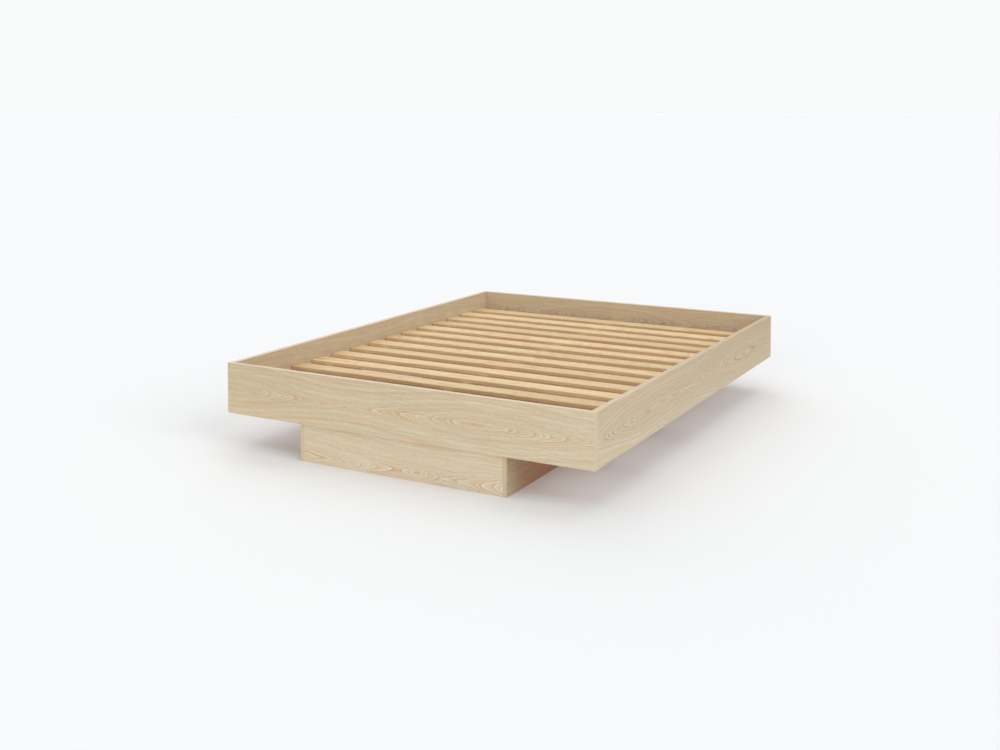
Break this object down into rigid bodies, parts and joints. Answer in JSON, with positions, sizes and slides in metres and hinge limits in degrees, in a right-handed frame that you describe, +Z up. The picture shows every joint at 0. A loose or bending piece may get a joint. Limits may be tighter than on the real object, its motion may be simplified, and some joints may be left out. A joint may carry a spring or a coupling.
{
  "type": "bed frame",
  "caption": "Low platform bed frame in pale oak: a slim rail box with a slatted deck on a set-back plinth, for a queen mattress.",
  "frame": {"origin": "on the floor, under the middle of the bed", "axes": "+Z up, +Y along the bed's length towards the head end, +X to the right side seen from the foot end"},
  "size_m": [1.59, 2.09, 0.35],
  "materials": {
    "oak_veneer": "pale oak veneer, matt lacquer",
    "pine": "planed pine, unfinished",
    "beech": "turned beech, unfinished",
    "zinc_steel": "bright zinc plate",
    "black_steel": "black oxide",
    "tape_weave": "woven tape"
  },
  "bodies": {
    "root": {"beam_shoe_foot": "zinc_steel", "beam_shoe_head": "zinc_steel", "centre_beam": "pine", "corner_bracket_foot_left": "zinc_steel", "corner_bracket_foot_right": "zinc_steel", "corner_bracket_head_left": "zinc_steel", "corner_bracket_head_right": "zinc_steel", "cross_bearer_1": "pine", "cross_bearer_2": "pine", "cross_bearer_3": "pine", "cross_bearer_4": "pine", "cross_bearer_5": "pine", "dowel_foot_left_lower": "beech", "dowel_foot_left_upper": "beech", "dowel_foot_right_lower": "beech", "dowel_foot_right_upper": "beech", "dowel_head_left_lower": "beech", "dowel_head_left_upper": "beech", "dowel_head_right_lower": "beech", "dowel_head_right_upper": "beech", "end_bolt_foot_left": "black_steel", "end_bolt_foot_right": "black_steel", "end_bolt_head_left": "black_steel", "end_bolt_head_right": "black_steel", "foot_rail": "oak_veneer", "head_rail": "oak_veneer", "ledger_left": "pine", "ledger_right": "pine", "plinth_back": "oak_veneer", "plinth_block_foot_left": "pine", "plinth_block_foot_right": "pine", "plinth_block_head_left": "pine", "plinth_block_head_right": "pine", "plinth_divider_1": "pine", "plinth_divider_2": "pine", "plinth_front": "oak_veneer", "plinth_side_left": "oak_veneer", "plinth_side_right": "oak_veneer", "side_bolt_foot_left": "black_steel", "side_bolt_foot_right": "black_steel", "side_bolt_head_left": "black_steel", "side_bolt_head_right": "black_steel", "side_rail_left": "oak_veneer", "side_rail_right": "oak_veneer", "slat_01": "pine", "slat_02": "pine", "slat_03": "pine", "slat_04": "pine", "slat_05": "pine", "slat_06": "pine", "slat_07": "pine", "slat_08": "pine", "slat_09": "pine", "slat_10": "pine", "slat_11": "pine", "slat_12": "pine", "slat_13": "pine", "slat_14": "pine", "slat_tape_left": "tape_weave", "slat_tape_right": "tape_weave"}
  },
  "joints": []
}
